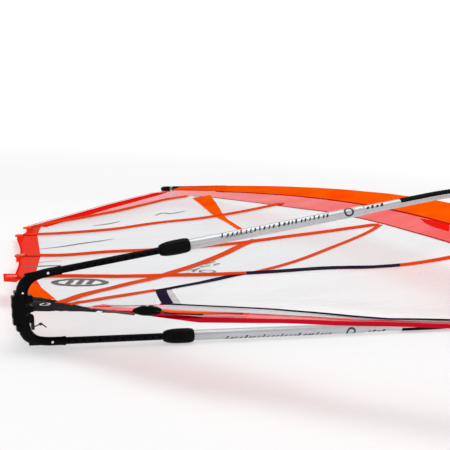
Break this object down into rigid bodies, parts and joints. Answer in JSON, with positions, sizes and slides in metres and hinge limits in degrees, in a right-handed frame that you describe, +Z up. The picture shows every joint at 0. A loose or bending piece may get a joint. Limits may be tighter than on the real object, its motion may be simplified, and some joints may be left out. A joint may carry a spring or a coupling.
{
  "type": "windsurf sail rig",
  "caption": "Windsurf sail on its mast with a wishbone boom, lying flat: telescoping boom tail, outhaul and downhaul tackle, battens and film panels.",
  "frame": {"origin": "bottom centre of the bounding box, on the ground plane the rig lies on", "axes": "+X from the clew and boom tail forward to the mast, +Y from the tack toward the mast tip (the long way), +Z up from the ground"},
  "size_m": [2.3012, 4.8386, 0.5354],
  "materials": {
    "mast_black": "satin",
    "black_plastic": "matte",
    "dark_plastic": "satin",
    "orange_cloth": "satin",
    "clear_film": "gloss",
    "window_film": "gloss",
    "pink_film": "gloss",
    "crimson_cloth": "satin",
    "red_cloth": "satin",
    "dark_cloth": "matte",
    "steel": "polished",
    "tape_cloth": "satin",
    "batten_rod": "satin",
    "orange_plastic": "gloss",
    "silver_tube": "satin",
    "black_tube": "satin",
    "black_rubber": "matte",
    "white_plastic": "gloss",
    "line": "matte"
  },
  "bodies": {
    "rig": {"mast_bottom_section": "mast_black", "mast_top_section": "mast_black", "mast_ferrule": "mast_black", "mast_tip_plug": "black_plastic", "luff_sleeve_lower": "orange_cloth", "luff_sleeve_upper": "orange_cloth", "panel_clew": "clear_film", "panel_lower": "clear_film", "panel_middle": "clear_film", "panel_upper": "clear_film", "panel_head": "pink_film", "window_panel": "window_film", "foot_panel": "pink_film", "foot_tape": "crimson_cloth", "leech_tape": "red_cloth", "luff_band": "pink_film", "clew_patch": "dark_cloth", "clew_eye": "steel", "batten_pocket_lower": "tape_cloth", "batten_lower": "batten_rod", "batten_tip_lower": "orange_plastic", "batten_pocket_middle": "tape_cloth", "batten_middle": "batten_rod", "batten_tip_middle": "orange_plastic", "batten_pocket_upper": "tape_cloth", "batten_upper": "batten_rod", "batten_tip_upper": "orange_plastic", "batten_pocket_head": "tape_cloth", "batten_head": "batten_rod", "batten_tip_head": "orange_plastic", "foot_tensioner_body": "black_plastic", "foot_batten": "batten_rod", "boom_rear_tube_upper": "silver_tube", "boom_rear_tube_lower": "silver_tube", "boom_front_tube": "silver_tube", "outhaul_line": "line", "boom_head": "black_plastic", "boom_head_liner": "black_rubber", "tack_block": "steel", "downhaul_line": "line"},
    "tail": {"boom_extension_upper": "black_tube", "boom_extension_lower": "black_tube", "boom_tail_end": "black_plastic", "outhaul_axle": "steel", "outhaul_cleat": "dark_plastic", "outhaul_free_end": "line"},
    "sheave_1": {"outhaul_sheave_1": "dark_plastic"},
    "sheave_2": {"outhaul_sheave_2": "dark_plastic"},
    "pin_upper": {"push_pin_upper": "white_plastic"},
    "pin_lower": {"push_pin_lower": "white_plastic"},
    "collar_upper": {"boom_collar_upper": "black_rubber"},
    "collar_lower": {"boom_collar_lower": "black_rubber"},
    "head_lever": {"boom_head_lever": "dark_plastic"},
    "extension": {"mast_extension_tube": "silver_tube", "extension_ring": "dark_plastic", "extension_base": "black_plastic", "downhaul_axle": "steel"},
    "downhaul_sheave_wheel": {"downhaul_sheave": "dark_plastic"},
    "tack_wheel": {"tack_sheave": "dark_plastic"},
    "tension_screw": {"foot_tensioner_screw": "steel"}
  },
  "joints": [
    {"name": "tail_slide", "type": "slide", "parent": "rig", "child": "tail", "axis": [-0.9961, 0, -0.0882], "range_m": [0, 0.025], "deforming": ["outhaul_line"]},
    {"name": "outhaul_sheave_1_spin", "type": "hinge", "parent": "tail", "child": "sheave_1", "pos_m": [-1.10623, -0.72645, 0.14593], "axis": [-0.0879, 0.0752, 0.9933], "continuous": true},
    {"name": "outhaul_sheave_2_spin", "type": "hinge", "parent": "tail", "child": "sheave_2", "pos_m": [-1.10359, -0.7287, 0.11613], "axis": [-0.0879, 0.0752, 0.9933], "continuous": true},
    {"name": "push_pin_upper_press", "type": "slide", "parent": "tail", "child": "pin_upper", "axis": [0.0066, 0.9972, -0.0749], "range_m": [0, 0.004], "stiffness_N_per_m": 300, "springref_m": -0.001},
    {"name": "collar_upper_twist", "type": "hinge", "parent": "rig", "child": "collar_upper", "pos_m": [-0.62979, -0.71669, 0.31796], "axis": [0.9838, 0.0069, 0.1791], "range_deg": [0, 90]},
    {"name": "push_pin_lower_press", "type": "slide", "parent": "tail", "child": "pin_lower", "axis": [0.0066, 0.9972, -0.0749], "range_m": [0, 0.004], "stiffness_N_per_m": 300, "springref_m": -0.001},
    {"name": "collar_lower_twist", "type": "hinge", "parent": "rig", "child": "collar_lower", "pos_m": [-0.60381, -0.73891, 0.02452], "axis": [1, -0.0069, -0.0035], "range_deg": [0, 90]},
    {"name": "boom_head_lever_open", "type": "hinge", "parent": "rig", "child": "head_lever", "pos_m": [1.13964, -0.70581, 0.32596], "axis": [-0.0881, 0.0353, 0.9955], "range_deg": [0, 110]},
    {"name": "extension_slide", "type": "slide", "parent": "rig", "child": "extension", "axis": [-0.0031, -0.9994, 0.0352], "range_m": [0, 0.05], "deforming": ["downhaul_line"]},
    {"name": "downhaul_sheave_spin", "type": "hinge", "parent": "extension", "child": "downhaul_sheave_wheel", "pos_m": [1.02128, -2.328, 0.38156], "axis": [-0.0881, 0.0353, 0.9955], "continuous": true},
    {"name": "tack_sheave_spin", "type": "hinge", "parent": "rig", "child": "tack_wheel", "pos_m": [1.02246, -2.18839, 0.36818], "axis": [-0.0881, 0.0353, 0.9955], "continuous": true},
    {"name": "tension_screw_turn", "type": "hinge", "parent": "rig", "child": "tension_screw", "pos_m": [-0.80135, -1.00029, 0.20474], "axis": [-0.0879, 0.0752, 0.9933], "continuous": true}
  ]
}
